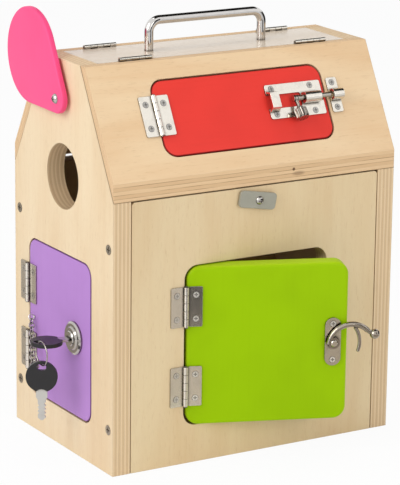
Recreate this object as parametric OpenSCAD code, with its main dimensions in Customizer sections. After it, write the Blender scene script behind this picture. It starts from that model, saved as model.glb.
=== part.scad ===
// Busy board shaped like a little house: a plywood box with two roof lids, three
// painted doors and a round hole with a swing cover. Each one has its own catch.
// X runs across the front, -Y is the front, -X is the side with the round hole and +Z is up.
// The origin is the middle of the footprint, on the surface that the house stands on.

/* [House] */
// Width across both gables
house_w = 250; // [240:1:300]
// Depth from front to back
house_d = 160; // [156:1:200]
// Height of the walls up to the eaves
wall_h = 212; // [205:1:240]
// Height of the flat top
roof_h = 307; // [300:1:340]
// Depth of the flat top board
top_d = 55; // [50:1:60]
// Plywood of the gables, walls, side doors and top board
ply = 15; // [12:1:15]
// Plywood of the two roof lids and of the red door
lid_t = 7; // [6:0.5:9]
// Plywood of the floor
floor_t = 9; // [6:1:15]

/* [Doors] */
// Side of the square green door in the front wall
green_size = 125; // [110:1:125]
// Width of the purple door in the gable
purple_w = 100; // [80:1:100]
// How far the purple door's middle sits behind the gable's middle
purple_shift = 5.5; // [0:0.5:8]
// Height of the side doors' bottom edge
door_z = 31; // [26:1:34]
// Width of the red door in the front lid
red_w = 150; // [130:1:150]
// Height of the red door, along the slope
red_h = 59.5; // [56:0.5:64]
// Corner radius of the doors
door_r = 10; // [6:1:14]
// Gap round a door
door_gap = 1; // [0.8:0.1:1.5]
// How far the green door stands open
green_ajar = 21; // [0:1:60]

/* [Hole and cover] */
// Diameter of the round hole
hole_d = 51; // [40:1:54]
// Height of the round hole's middle
hole_z = 216.5; // [212:0.5:225]
// Height of the cover's pivot
cover_z = 278; // [274:1:280]
// Radius of the cover's disc
cover_r = 37.2; // [32:0.1:40]
// Thickness of the cover
cover_t = 5; // [3:0.5:8]
// Turn of the cover from hanging straight down
cover_turn = 121; // [0:1:180]

/* [Handle] */
// Distance between the middles of the handle's feet
handle_c = 101; // [90:1:128]
// Diameter of the handle's rod
handle_rod = 7; // [6:0.5:9]
// Height of the bar's middle above the top board
handle_h = 23.5; // [20:0.5:35]

/* [Hinges] */
// Length of a hinge
hinge_l = 31.5; // [28:0.5:34]
// Width of one hinge leaf, from the pin's middle
leaf_w = 12.6; // [10:0.2:13]
// Length of a ridge hinge
ridge_l = 28; // [26:0.5:31.5]
// Thickness of a hinge leaf
leaf_t = 1.1; // [0.8:0.1:1.4]
// Diameter of a hinge knuckle
knuckle_d = 3.8; // [3.4:0.1:4]

/* [Catches] */
// Length of the barrel bolt's base
bolt_l = 50; // [46:1:52]
// Width of the barrel bolt's base
bolt_w = 27.3; // [25:0.1:30]
// Diameter of the bolt's rod
rod_d = 4; // [3.5:0.5:4.5]
// Length of the turn button
button_l = 32.5; // [30:0.5:36]
// Width of the turn button
button_w = 13; // [11:0.5:15]
// Turn of the turn button below the level
button_turn = 10; // [0:1:30]
// Diameter of the lock's face
lock_d = 26; // [24:1:28]
// Diameter of a key's plastic head
key_head_d = 24.4; // [23:0.2:25]

/* [Hidden] */
$fn = 48;

// --- places worked out from the driving dimensions ---
joint_gap = 0.3;
clear = 0.06;
sink = 0.4;
slope = atan((roof_h - wall_h) / (house_d/2 - top_d/2));
inner_w = house_w - 2*ply;
room_y = house_d/2 - ply;
top_outer = lid_t / tan(slope);
slot_jamb = 1.5;
wall_gap = 0.7;
wall_round = 3;

// Doors and their pins, seen from outside each face
door_top = door_z + green_size;
green_pin_x = -green_size/2 - door_gap/2;
purple_pin_x = -(purple_shift + purple_w/2 + door_gap/2);
pin_r = 0.9;
pin_h = knuckle_d/2 + 0.1;
green_hinge_z = [62.5, 125.5];
purple_hinge_z = [64.5, 119.5];
leaf_screw_x = 7.6;
leaf_screw_y = 9.4;
small_head_d = 4.6;
small_shank_d = 2.2;
small_len = 6;

// Ridge hinges: the pin stands a little above the top board's long edges
ridge_pin_y = -top_d/2 - 0.4;
ridge_pin_z = roof_h + 1.5;
ridge_knuckle_d = 3.2;
ridge_pin_r = 0.75;
ridge_leaf = 11;
ridge_x = [-78, 78];

// Red door and barrel bolt: distances down the slope from the lid's top edge
red_mid = 45.7;
red_pin_x = -red_w/2 - door_gap/2;
red_hinge_s = 43.3;
bolt_s = 42.6;
bolt_x = 21.8;
bolt_plate_t = 1.2;
rod_h = 4.4;
rod_x = [46, 77.6];
hub_x = [42.6, 47.4];
guide_x = [52.6, 67];
guide_d = 8.6;
strap_x = [22, 29.6];
keeper_x = [78.2, 87.6];
keeper_mid = (keeper_x[0] + keeper_x[1])/2;
keeper_s = 42.2;
knob_angle = 76;

// Swing latch on the green door, measured from the door's pin
latch_x = 114;
latch_z = 93.6;
latch_pitch = 28.6;
latch_base_t = 1.5;
latch_h = 4.6;
prong_ring_r = 20.2;
// The keeper's eye stands where the prong's arc comes down beside the closed door
eye_turn = -36;
latch_keeper_x = green_pin_x + latch_x + prong_ring_r*cos(eye_turn) + 3.2;
latch_keeper_z = latch_z + prong_ring_r*sin(eye_turn) - 1;

// Cam lock in the purple door
lock_y = 19;
lock_z = 93.5;
barrel_d = 16;
plug_d = 10;
face_h = 4;
key_mid = 24;
head_t = 3;
head_hole = [7, 4.8];
head_hole_r = key_head_d/2 - 2.2 - head_hole[1]/2;
ring_r = 9.2;
ring_wire = 1.1;
ring_side = 6.4;
ring_drop = sqrt(pow(ring_r - 0.32, 2) - pow(ring_side, 2));
spare_drop = ring_r + key_head_d/2 - 2.2 - 0.45 - ring_wire/2;

// Swing cover
cover_x = 2.5;
cover_gap = 2.5;
cover_small_r = 11.5;
cover_reach = 50.2;

button_z = 201.5;
button_t = 2;

// Tether chain
link_r = 2.3;
link_wire = 0.5;
link_pitch = 3.3;
tether_from = [-46.8, 93.2, 3.2];
// It ends beside the key ring, at the ring's lower left
tether_off = (ring_r + ring_wire/2 + link_r + link_wire + 0.25)*sqrt(0.5);
tether_to = [lock_y + ring_side - tether_off, lock_z - ring_drop - tether_off, key_mid + head_hole_r];
tether_sag = 32;
tether_steps = 60;

// --- frames of the three faces: X to the right, Y up the face, Z outwards ---
module on_front() {
    translate([0, -house_d/2, 0]) rotate([90, 0, 0]) children();
}

module on_left() {
    translate([-house_w/2, 0, 0]) rotate([90, 0, -90]) children();
}

// The lid's underside, from its top edge; the outer face is at z = lid_t
module on_slope() {
    translate([0, -top_d/2 - joint_gap, roof_h]) rotate([slope, 0, 0]) children();
}

// The lid's outer face at a distance s down from its top edge
module on_lid(s = 0) {
    on_slope() translate([0, -top_outer - s, lid_t]) children();
}

module front_and_back() {
    children();
    mirror([0, 1, 0]) children();
}

module both_sides() {
    children();
    mirror([1, 0, 0]) children();
}

// --- shapes used again and again ---
module round_rect(w, h, r) {
    square([w - 2*r, h], center = true);
    square([w, h - 2*r], center = true);
    for (x = [-1, 1], y = [-1, 1]) translate([x*(w/2 - r), y*(h/2 - r)]) circle(r);
}

module slot_shape(l, w) {
    square([l - w, w], center = true);
    for (x = [-1, 1]) translate([x*(l - w)/2, 0]) circle(d = w);
}

// A bar across the whole width, with a profile drawn in Y and Z
module bar(w) {
    rotate([90, 0, 90]) linear_extrude(w, center = true) children();
}

module tube_arc(ring, wire, from, to) {
    rotate([0, 0, from]) rotate_extrude(angle = to - from) translate([ring, 0]) circle(wire);
}

// A countersunk screw along Z, its head flush with z = 0
module csk_screw(head, shank, l) {
    cone = (head - shank)/2;
    difference() {
        union() {
            translate([0, 0, -cone]) cylinder(d1 = shank, d2 = head, h = cone);
            translate([0, 0, -l]) cylinder(d = shank, h = l - cone);
        }
        for (a = [0, 90]) rotate(a) cube([head*0.62, head*0.14, head*0.24], center = true);
    }
}

module csk_hole(head, shank, l) {
    cone = (head - shank)/2;
    translate([0, 0, -cone]) cylinder(d1 = shank + 2*clear, d2 = head + 2*sink, h = cone);
    translate([0, 0, -0.01]) cylinder(d = head + 2*sink, h = 1);
    translate([0, 0, -l - 0.2]) cylinder(d = shank + 2*clear, h = l);
}

module small_screw() {
    csk_screw(small_head_d, small_shank_d, small_len);
}

module small_hole() {
    csk_hole(small_head_d, small_shank_d, small_len);
}

// Screws of a surface hinge leaf; side is 1 to the right of the pin and -1 to its left
module leaf_screws_at(side) {
    for (y = [-1, 1]) translate([side*leaf_screw_x, y*leaf_screw_y, leaf_t + 0.15]) children();
}

// A surface hinge leaf along Y: the pin stands proud, the leaf lies on the face at z = 0
module face_leaf(side, knuckles) {
    seg = hinge_l/5;
    difference() {
        union() {
            translate([side*(leaf_w + knuckle_d/2 + 0.3)/2, 0, 0])
                linear_extrude(leaf_t) round_rect(leaf_w - knuckle_d/2 - 0.3, hinge_l, 1.2);
            for (k = knuckles) translate([0, -hinge_l/2 + k*seg + 0.15, 0]) {
                translate([0, 0, pin_h]) rotate([-90, 0, 0]) cylinder(d = knuckle_d, h = seg - 0.3);
                translate([side > 0 ? 0 : -leaf_w/2, 0, 0.1]) cube([leaf_w/2, seg - 0.3, leaf_t - 0.1]);
            }
        }
        translate([0, -hinge_l, pin_h]) rotate([-90, 0, 0]) cylinder(r = pin_r + clear, h = 2*hinge_l);
        leaf_screws_at(side) small_hole();
    }
}

module face_pin() {
    translate([0, -hinge_l/2, pin_h]) rotate([-90, 0, 0]) cylinder(r = pin_r, h = hinge_l);
    for (y = [-1, 1]) translate([0, y*(hinge_l/2 + 0.3), pin_h])
        rotate([90, 0, 0]) cylinder(r = knuckle_d*0.36, h = 0.6, center = true);
}

// --- where each hinge and door sits ---
module green_hinges() {
    for (z = green_hinge_z) on_front() translate([green_pin_x, z, 0]) children();
}

module purple_hinges() {
    for (z = purple_hinge_z) on_left() translate([purple_pin_x, z, 0]) children();
}

module red_hinge() {
    on_lid(red_hinge_s) translate([red_pin_x, 0, 0]) children();
}

// What rides on the green door, swung open about its pin
module green_swung() {
    on_front() translate([green_pin_x, 0, pin_h])
        rotate([0, -green_ajar, 0]) translate([0, 0, -pin_h]) children();
}

module ridge_hinges() {
    for (x = ridge_x) translate([x, ridge_pin_y, ridge_pin_z]) children();
}

// --- house ---
module gable_profile() {
    polygon([
        [-house_d/2, 0], [house_d/2, 0], [house_d/2, wall_h],
        [top_d/2, roof_h], [-top_d/2, roof_h], [-house_d/2, wall_h]
    ]);
}

module wall_screw_places() {
    both_sides() for (y = [-1, 1], z = [35, 176])
        translate([-house_w/2, y*(house_d/2 - ply/2), z]) rotate([0, -90, 0]) children();
}

module wall_screw_holes() {
    wall_screw_places() csk_hole(7.6, 3.6, 38);
}

module gable() {
    translate([-house_w/2 + ply/2, 0, 0]) bar(ply) gable_profile();
}

module left_gable() {
    color("burlywood") difference() {
        gable();
        wall_screw_holes();
        translate([-house_w/2, 0, hole_z]) rotate([0, 90, 0]) cylinder(d = hole_d, h = 3*ply, center = true);
        on_left() translate([-purple_shift + slot_jamb/4, door_z + green_size/2, -ply - 1])
            linear_extrude(ply + 2)
                round_rect(purple_w + 2*door_gap + slot_jamb/2, green_size + 2*door_gap, door_r + door_gap);
        purple_hinges() leaf_screws_at(-1) small_hole();
        on_left() translate([cover_x, cover_z, 0]) cover_screw_hole();
    }
}

module right_gable() {
    color("burlywood") difference() {
        mirror([1, 0, 0]) gable();
        wall_screw_holes();
    }
}

module wall_outline() {
    w = inner_w - 2*wall_gap;
    h = wall_h - joint_gap;
    translate([-w/2, 0]) square([w, h - wall_round]);
    translate([-w/2 + wall_round, 0]) square([w - 2*wall_round, h]);
    for (x = [-1, 1]) translate([x*(w/2 - wall_round), h - wall_round]) circle(wall_round);
}

module front_wall() {
    color("burlywood") difference() {
        on_front() translate([0, 0, -ply]) linear_extrude(ply) wall_outline();
        wall_screw_holes();
        on_front() translate([slot_jamb/4 - 0.15, door_z + green_size/2, -ply - 1])
            linear_extrude(ply + 2)
                round_rect(green_size + 2*door_gap + slot_jamb/2, green_size + 2*door_gap, door_r + door_gap);
        green_hinges() leaf_screws_at(-1) small_hole();
        on_front() translate([0, button_z, 0]) cylinder(d = 3 + 2*clear, h = 24, center = true);
        keeper_places() small_hole();
    }
}

// The back wall stops a little below the eaves, so a line of light shows there
module back_wall() {
    color("burlywood") difference() {
        translate([-inner_w/2 + joint_gap, room_y, 0]) cube([inner_w - 2*joint_gap, ply, wall_h - 1]);
        wall_screw_holes();
    }
}

module floor_board() {
    color("tan") translate([-inner_w/2 + joint_gap, -room_y, 0]) cube([inner_w - 2*joint_gap, 2*room_y, floor_t]);
}

module wall_screws() {
    color("silver") wall_screw_places() csk_screw(7.6, 3.6, 38);
}

module top_board() {
    color("tan") difference() {
        translate([-inner_w/2, -top_d/2, roof_h - ply]) cube([inner_w, top_d, ply]);
        for (x = [-1, 1]) translate([x*handle_c/2, 0, roof_h]) cylinder(d = 4.5, h = 3*ply, center = true);
        front_and_back() ridge_hinges() {
            translate([-ridge_l/2 - 0.2, -0.3, -ridge_leaf - 0.2]) cube([ridge_l + 0.4, 2, ridge_leaf + 1]);
            for (x = [-1, 1]) translate([x*leaf_screw_y, 1.4, -7]) rotate([90, 0, 0]) small_hole();
        }
    }
}

// --- handle ---
module handle_path_corner() {
    bend = 9;
    translate([handle_c/2 - bend, 0, handle_h - bend]) rotate([90, 0, 0]) tube_arc(bend, handle_rod/2, 0, 90);
    translate([handle_c/2, 0, 0]) cylinder(d = handle_rod, h = handle_h - bend);
    translate([0, 0, handle_h]) rotate([0, 90, 0]) cylinder(d = handle_rod, h = handle_c/2 - bend);
}

module carry_handle() {
    color("silver") translate([0, 0, roof_h]) difference() {
        both_sides() handle_path_corner();
        for (x = [-1, 1]) translate([x*handle_c/2, 0, -1]) cylinder(d = 4 + 2*clear, h = 11);
    }
}

module handle_screws() {
    color("silver") for (x = [-1, 1]) translate([x*handle_c/2, 0, roof_h - ply]) {
        cylinder(d = 4, h = ply + 9);
        translate([0, 0, -0.8]) cylinder(d = 10, h = 0.8);
        translate([0, 0, -3]) cylinder(d = 7.5, h = 2.2);
    }
}

// --- ridge hinges ---
module ridge_barrels(knuckles) {
    seg = ridge_l/5;
    for (k = knuckles) translate([-ridge_l/2 + k*seg + 0.15, 0, 0])
        rotate([0, 90, 0]) rotate(135) cylinder(d = ridge_knuckle_d, h = seg - 0.3);
}

module ridge_pin_hole() {
    rotate([0, 90, 0]) rotate(135) cylinder(r = ridge_pin_r + clear, h = 2*ridge_l, center = true);
}

module ridge_fixed_leaf() {
    seg = ridge_l/5;
    difference() {
        union() {
            translate([-ridge_l/2, 0.4, -ridge_leaf]) cube([ridge_l, leaf_t, ridge_leaf - 1.9]);
            ridge_barrels([0, 2, 4]);
            for (k = [0, 2, 4]) translate([-ridge_l/2 + k*seg + 0.15, 0.4, -2.5]) cube([seg - 0.3, leaf_t, 2.5]);
        }
        ridge_pin_hole();
        for (x = [-1, 1]) translate([x*leaf_screw_y, 0.25, -7]) rotate([90, 0, 0]) small_hole();
    }
}

module ridge_lid_leaf() {
    seg = ridge_l/5;
    difference() {
        union() {
            ridge_barrels([1, 3]);
            lid_leaf_frame() {
                translate([-ridge_l/2, -ridge_leaf, 0]) cube([ridge_l, ridge_leaf - 1, leaf_t]);
                for (k = [1, 3]) translate([-ridge_l/2 + k*seg + 0.4, -2, 0]) cube([seg - 0.8, 2.2, leaf_t]);
            }
        }
        ridge_pin_hole();
        lid_leaf_frame() for (x = [-1, 1]) translate([x*leaf_screw_y, -7, -0.15]) rotate([180, 0, 0]) small_hole();
    }
}

// From the ridge pin to the lid's underside at its top edge
module lid_leaf_frame() {
    translate([0, -top_d/2 - joint_gap - ridge_pin_y, roof_h - ridge_pin_z]) rotate([slope, 0, 0]) children();
}

module ridge_hinge_fixed_leaves() {
    color("silver") front_and_back() ridge_hinges() ridge_fixed_leaf();
}

module ridge_hinge_pins() {
    color("silver") front_and_back() ridge_hinges()
        rotate([0, 90, 0]) cylinder(r = ridge_pin_r, h = ridge_l + 0.6, center = true);
}

module front_ridge_lid_leaves() {
    color("silver") ridge_hinges() ridge_lid_leaf();
}

module back_ridge_lid_leaves() {
    color("silver") mirror([0, 1, 0]) ridge_hinges() ridge_lid_leaf();
}

// --- roof lids ---
module lid_profile() {
    run = house_d/2 - top_d/2 - joint_gap;
    top = lid_t / sin(slope);
    polygon([
        [-house_d/2 + run, roof_h], [-house_d/2 + run - top, roof_h],
        [-house_d/2, roof_h - (run - top)*tan(slope)], [-house_d/2, roof_h - run*tan(slope)]
    ]);
}

module lid_board() {
    difference() {
        bar(house_w) lid_profile();
        ridge_hinges() {
            rotate([0, 90, 0]) cylinder(d = ridge_knuckle_d + 0.8, h = ridge_l + 1, center = true);
            lid_leaf_frame() {
                translate([-ridge_l/2 - 0.2, -ridge_leaf - 0.2, -1]) cube([ridge_l + 0.4, ridge_leaf + 2, leaf_t + 1 + clear]);
                for (x = [-1, 1]) translate([x*leaf_screw_y, -7, -0.15])
                    rotate([180, 0, 0]) csk_hole(small_head_d, small_shank_d, 5.5);
            }
        }
    }
}

module front_lid() {
    color("burlywood") difference() {
        lid_board();
        on_lid(red_mid) translate([0, 0, -2*lid_t]) linear_extrude(3*lid_t)
            round_rect(red_w + 2*door_gap, red_h + 2*door_gap, door_r + door_gap);
        red_hinge() leaf_screws_at(-1) small_hole();
        bolt_keeper_places() small_hole();
    }
}

module back_lid() {
    color("burlywood") mirror([0, 1, 0]) lid_board();
}

module ridge_lid_screws() {
    ridge_hinges() lid_leaf_frame() for (x = [-1, 1]) translate([x*leaf_screw_y, -7, -0.15])
        rotate([180, 0, 0]) csk_screw(small_head_d, small_shank_d, 5.5);
}

module front_lid_screws() {
    color("silver") {
        ridge_lid_screws();
        red_hinge() leaf_screws_at(-1) small_screw();
        bolt_keeper_places() small_screw();
    }
}

module back_lid_screws() {
    color("silver") mirror([0, 1, 0]) ridge_lid_screws();
}

// --- red door with its hinge and barrel bolt ---
module red_door() {
    color("red") difference() {
        on_lid(red_mid) translate([0, 0, -lid_t]) linear_extrude(lid_t) round_rect(red_w, red_h, door_r);
        red_hinge() leaf_screws_at(1) small_hole();
        bolt_screw_places() small_hole();
    }
}

module red_hinge_lid_leaf() {
    color("silver") red_hinge() face_leaf(-1, [0, 2, 4]);
}

module red_hinge_door_leaf() {
    color("silver") red_hinge() face_leaf(1, [1, 3]);
}

module red_hinge_pin() {
    color("silver") red_hinge() face_pin();
}

// X along the bolt, Y up the slope, Z out from the face
module bolt_frame() {
    on_lid(bolt_s) children();
}

module bolt_screw_corners() {
    for (x = [5.6, bolt_l - 9.4], y = [-1, 1])
        translate([bolt_x + x, y*10.2, bolt_plate_t + 0.15]) children();
}

module bolt_screw_places() {
    bolt_frame() bolt_screw_corners() children();
}

// Profile of the strap that is raised across the open end of the base
module strap_profile() {
    difference() {
        polygon([[-9, 0], [-6, 7.2], [6, 7.2], [9, 0]]);
        polygon([[-7.6, -1], [-5.1, 6], [5.1, 6], [7.6, -1]]);
    }
}

module along_x(x) {
    translate([x[0], 0, 0]) rotate([90, 0, 90]) linear_extrude(x[1] - x[0]) children();
}

module bolt_base() {
    color("silver") bolt_frame() difference() {
        union() {
            translate([bolt_x + bolt_l/2, 0, 0]) linear_extrude(bolt_plate_t) round_rect(bolt_l, bolt_w, 1.5);
            along_x(strap_x) strap_profile();
            along_x(guide_x) {
                translate([0, rod_h]) circle(d = guide_d);
                translate([-guide_d/2, 0]) square([guide_d, rod_h]);
            }
        }
        translate([(bolt_x + guide_x[0])/2 - 3, 0, -1]) linear_extrude(bolt_plate_t + 1.5)
            round_rect(guide_x[0] - bolt_x + 5, 11, 1.5);
        translate([0, 0, rod_h]) rotate([0, 90, 0]) cylinder(r = rod_d/2 + clear, h = 100);
        bolt_screw_corners() small_hole();
    }
}

module red_door_screws() {
    color("silver") {
        red_hinge() leaf_screws_at(1) small_screw();
        bolt_screw_places() small_screw();
    }
}

// The rod's tail is stepped down, and the knob's hub turns on it
module bolt_rod() {
    color("silver") bolt_frame() translate([0, 0, rod_h]) rotate([0, 90, 0]) {
        translate([0, 0, hub_x[1] + 0.1]) cylinder(d = rod_d, h = rod_x[1] - hub_x[1] - 1.1);
        translate([0, 0, rod_x[1] - 1]) cylinder(d1 = rod_d, d2 = rod_d - 1.6, h = 1);
        translate([0, 0, hub_x[0] + 1]) cylinder(d = 2.2, h = hub_x[1] - hub_x[0]);
    }
}

module bolt_knob() {
    color("silver") bolt_frame() translate([(hub_x[0] + hub_x[1])/2, 0, rod_h]) {
        difference() {
            rotate([0, 90, 0]) cylinder(d = rod_d + 1, h = hub_x[1] - hub_x[0], center = true);
            translate([-1.4, 0, 0]) rotate([0, 90, 0]) cylinder(r = 1.1 + clear, h = 10);
        }
        rotate([knob_angle, 0, 0]) {
            translate([0, 0, 2]) cylinder(d = 2.8, h = 7.5);
            difference() {
                translate([0, 0, 9]) union() {
                    cylinder(d1 = 7, d2 = 10, h = 1.3);
                    translate([0, 0, 1.3]) cylinder(d = 10, h = 6.2);
                    translate([0, 0, 7.5]) cylinder(d1 = 10, d2 = 8, h = 1.3);
                }
                for (a = [0 : 30 : 330]) rotate(a) translate([5.5, 0, 10]) cylinder(r = 1, h = 6.8);
            }
        }
    }
}

module bolt_keeper_ends() {
    for (y = [-1, 1]) translate([keeper_mid, y*10, bolt_plate_t + 0.15]) children();
}

module bolt_keeper_places() {
    on_lid(keeper_s) bolt_keeper_ends() children();
}

module bolt_keeper() {
    color("silver") on_lid(keeper_s) difference() {
        translate([keeper_mid, 0, 0]) linear_extrude(bolt_plate_t) round_rect(keeper_x[1] - keeper_x[0], 28, 1.5);
        bolt_keeper_ends() small_hole();
    }
}

// The loop's inside is five flats round the rod, with room for it to slide
module bolt_keeper_loop() {
    bore = rod_d/2 + 0.5;
    flat = bore*tan(22.5);
    color("silver") bolt_frame() along_x(keeper_x) difference() {
        union() {
            translate([0, rod_h]) circle(d = guide_d);
            translate([-guide_d/2, 0]) square([guide_d, rod_h]);
        }
        polygon([
            [-bore, -2], [bore, -2], [bore, rod_h + flat], [flat, rod_h + bore],
            [-flat, rod_h + bore], [-bore, rod_h + flat]
        ]);
        translate([-guide_d, -2]) square([2*guide_d, bolt_plate_t + 2]);
    }
}

// --- green door with its hinges and swing latch ---
module green_door() {
    color("yellowgreen") green_swung() difference() {
        translate([green_size/2 + door_gap/2, door_z + green_size/2, -ply]) linear_extrude(ply)
            round_rect(green_size, green_size, door_r);
        for (z = green_hinge_z) translate([0, z, 0]) leaf_screws_at(1) small_hole();
        latch_screw_places() small_hole();
        translate([latch_x, latch_z, -8]) cylinder(d = 3 + 2*clear, h = 20);
    }
}

module green_hinge_wall_leaves() {
    color("silver") green_hinges() face_leaf(-1, [0, 2, 4]);
}

module green_hinge_door_leaves() {
    color("silver") green_swung() for (z = green_hinge_z) translate([0, z, 0]) face_leaf(1, [1, 3]);
}

module latch_screw_places() {
    for (y = [-1, 1]) translate([latch_x, latch_z + y*latch_pitch/2, latch_base_t + 0.15]) children();
}

module latch_base() {
    color("silver") green_swung() difference() {
        union() {
            translate([latch_x, latch_z, 0]) linear_extrude(latch_base_t) rotate(90) slot_shape(38, 12.4);
            translate([latch_x, latch_z, latch_base_t]) cylinder(d = 7, h = 0.5);
            translate([latch_x, latch_z, -7]) cylinder(d = 3, h = 7 + latch_h + 2.4);
            translate([latch_x, latch_z, latch_h + 2.2]) cylinder(d1 = 5.6, d2 = 4, h = 0.9);
        }
        latch_screw_places() small_hole();
    }
}

module green_door_screws() {
    color("silver") green_swung() {
        for (z = green_hinge_z) translate([0, z, 0]) leaf_screws_at(1) small_screw();
        latch_screw_places() small_screw();
    }
}

// The horn sweeps up from the hub, over and down to a lobe; its prong is an arc about the pivot
module latch_arm() {
    arm_r = 2.1;
    bow_r = 17.6;
    bow = [13.6, -3.2];
    bow_end = 45;
    dip_r = 9;
    dip = [bow[0] + (bow_r + dip_r)*cos(bow_end), bow[1] + (bow_r + dip_r)*sin(bow_end)];
    color("silver") green_swung() translate([latch_x, latch_z, latch_h]) difference() {
        union() {
            translate([0, 0, -2.3]) cylinder(d = 8.6, h = 4.2);
            translate([bow[0], bow[1], 0]) tube_arc(bow_r, arm_r, bow_end, 172);
            translate([dip[0], dip[1], 0]) tube_arc(dip_r, arm_r*0.85, 225, 268);
            translate([dip[0] - 0.6, dip[1] - dip_r - 0.6, 0]) sphere(3.9);
            tube_arc(prong_ring_r, 1.4, -19, 36);
            rotate(-19) translate([prong_ring_r, 0, 0]) sphere(1.4);
        }
        translate([0, 0, -5]) cylinder(r = 1.5 + clear, h = 10);
    }
}

module keeper_places() {
    on_front() for (z = [-11, 11])
        translate([latch_keeper_x, latch_keeper_z + z, bolt_plate_t + 0.15]) children();
}

module latch_keeper() {
    color("silver") difference() {
        on_front() {
            translate([latch_keeper_x, latch_keeper_z, 0]) linear_extrude(bolt_plate_t) round_rect(12, 29, 2.5);
            translate([green_pin_x + latch_x, latch_z, 0]) rotate(eye_turn) translate([prong_ring_r, 0, 0]) {
                translate([-3.6, -0.8, 0.6]) cube([1.5, 1.6, latch_h - 0.6]);
                translate([2.1, -0.8, 0.6]) cube([1.5, 1.6, latch_h - 0.6]);
                translate([0, 0.8, latch_h]) rotate([90, 0, 0]) difference() {
                    cylinder(r = 3.6, h = 1.6);
                    translate([0, 0, -1]) cylinder(r = 2.1, h = 4);
                    translate([-5, -5, -1]) cube([10, 5, 4]);
                }
            }
        }
        keeper_places() small_hole();
    }
}

module latch_keeper_screws() {
    color("silver") keeper_places() small_screw();
}

// --- purple door with its hinges and cam lock ---
module purple_door() {
    color("mediumpurple") on_left() difference() {
        translate([-purple_shift, door_z + green_size/2, -ply]) linear_extrude(ply)
            round_rect(purple_w, green_size, door_r);
        for (z = purple_hinge_z) translate([purple_pin_x, z, 0]) leaf_screws_at(1) small_hole();
        translate([lock_y, lock_z, 0]) cylinder(d = barrel_d + 0.4, h = 3*ply, center = true);
        translate([tether_from[0], tether_from[1], -small_len - 0.2])
            cylinder(d = small_shank_d + 2*clear, h = small_len + 1);
    }
}

module purple_hinge_wall_leaves() {
    color("silver") purple_hinges() face_leaf(-1, [0, 2, 4]);
}

module purple_hinge_door_leaves() {
    color("silver") purple_hinges() face_leaf(1, [1, 3]);
}

module purple_door_screws() {
    color("silver") purple_hinges() leaf_screws_at(1) small_screw();
}

module door_hinge_pins() {
    color("silver") {
        green_hinges() face_pin();
        purple_hinges() face_pin();
    }
}

module wall_leaf_screws() {
    color("silver") {
        green_hinges() leaf_screws_at(-1) small_screw();
        purple_hinges() leaf_screws_at(-1) small_screw();
        front_and_back() ridge_hinges() for (x = [-1, 1])
            translate([x*leaf_screw_y, 0.25, -7]) rotate([90, 0, 0]) small_screw();
    }
}

module lock_frame() {
    on_left() translate([lock_y, lock_z, 0]) children();
}

module lock_housing() {
    color("silver") lock_frame() difference() {
        union() {
            cylinder(d = lock_d, h = 1.6);
            translate([0, 0, 1.6]) cylinder(d1 = lock_d, d2 = lock_d - 3, h = 1);
            translate([0, 0, 2.6]) cylinder(d1 = 19, d2 = 17, h = face_h - 2.6);
            translate([0, 0, -ply - 3.6]) cylinder(d = barrel_d, h = ply + 3.6);
        }
        translate([0, 0, -30]) cylinder(r = plug_d/2 + clear, h = 60);
    }
}

module lock_nut() {
    color("silver") lock_frame() translate([0, 0, -ply - 3]) difference() {
        cylinder(d = 23, h = 3, $fn = 6);
        translate([0, 0, -1]) cylinder(d = barrel_d + 2*clear, h = 5);
    }
}

module lock_plug() {
    color("silver") lock_frame() difference() {
        union() {
            translate([0, 0, -ply - 3.9]) cylinder(d = plug_d, h = ply + 3.9 + face_h);
            translate([0, 0, face_h + 0.2]) cylinder(d1 = 12.4, d2 = 11, h = 0.8);
            translate([0, 0, face_h]) cylinder(d = plug_d, h = 0.3);
            translate([0, 0, -ply - 5.5]) cube([6, 6, 3.6], center = true);
        }
        translate([0, 0, face_h - 7]) cube([6.6, 2.5, 20], center = true);
        translate([0, 0, -ply - 9]) cylinder(d = 3 + 2*clear, h = 12);
    }
}

module lock_cam() {
    color("silver") lock_frame() translate([0, 0, -ply - 5.5]) difference() {
        linear_extrude(1.5) {
            circle(d = 13);
            translate([0, -15]) square([10, 30], center = true);
            translate([0, -29]) circle(d = 10);
        }
        translate([0, 0, 0]) cube([6 + 2*clear, 6 + 2*clear, 10], center = true);
    }
}

module cam_screw() {
    color("silver") lock_frame() translate([0, 0, -ply - 7.4]) {
        cylinder(d = 3, h = 8);
        translate([0, 0, -1.9]) cylinder(d = 8.4, h = 1.9);
    }
}

// A key lies along its own -Y from the middle of its head, flat in X and Y
module key_head_shape() {
    color("black") difference() {
        translate([0, 0, -head_t/2]) linear_extrude(head_t) difference() {
            circle(d = key_head_d);
            translate([0, -key_head_d/2 - 3.4]) circle(d = 11.6);
            translate([0, head_hole_r]) round_rect(head_hole[0], head_hole[1], 2);
        }
        translate([0, -key_head_d/2 + 1, 0]) cube([8.8 + 2*clear, 7, 1.8 + 2*clear], center = true);
    }
}

module key_blade_shape() {
    neck = -key_head_d/2 + 4.5;
    color("silver") translate([0, 0, -0.9]) linear_extrude(1.8) {
        difference() {
            polygon([
                [-4.4, neck], [4.4, neck], [4.4, neck - 8.5], [3, neck - 11],
                [3, neck - 25], [0.8, neck - 27], [-0.8, neck - 27], [-3, neck - 25],
                [-3, neck - 11], [-4.4, neck - 8.5]
            ]);
            for (y = [0 : 3]) translate([3.4, neck - 14 - 3*y]) circle(r = 1.3);
            for (y = [0 : 2]) translate([-3.4, neck - 15.5 - 3*y]) circle(r = 1.2);
        }
    }
}

// The key in the lock lies flat, its head's middle key_mid out from the door
module key_in_lock() {
    lock_frame() translate([0, 0, key_mid]) rotate([90, 0, 0]) children();
}

module key_blade() {
    key_in_lock() key_blade_shape();
}

module key_head() {
    key_in_lock() key_head_shape();
}

// The ring hangs from the side of the head's hole, and the spare key from the ring
module ring_frame() {
    lock_frame() translate([ring_side, -ring_drop, key_mid + head_hole_r]) children();
}

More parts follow.
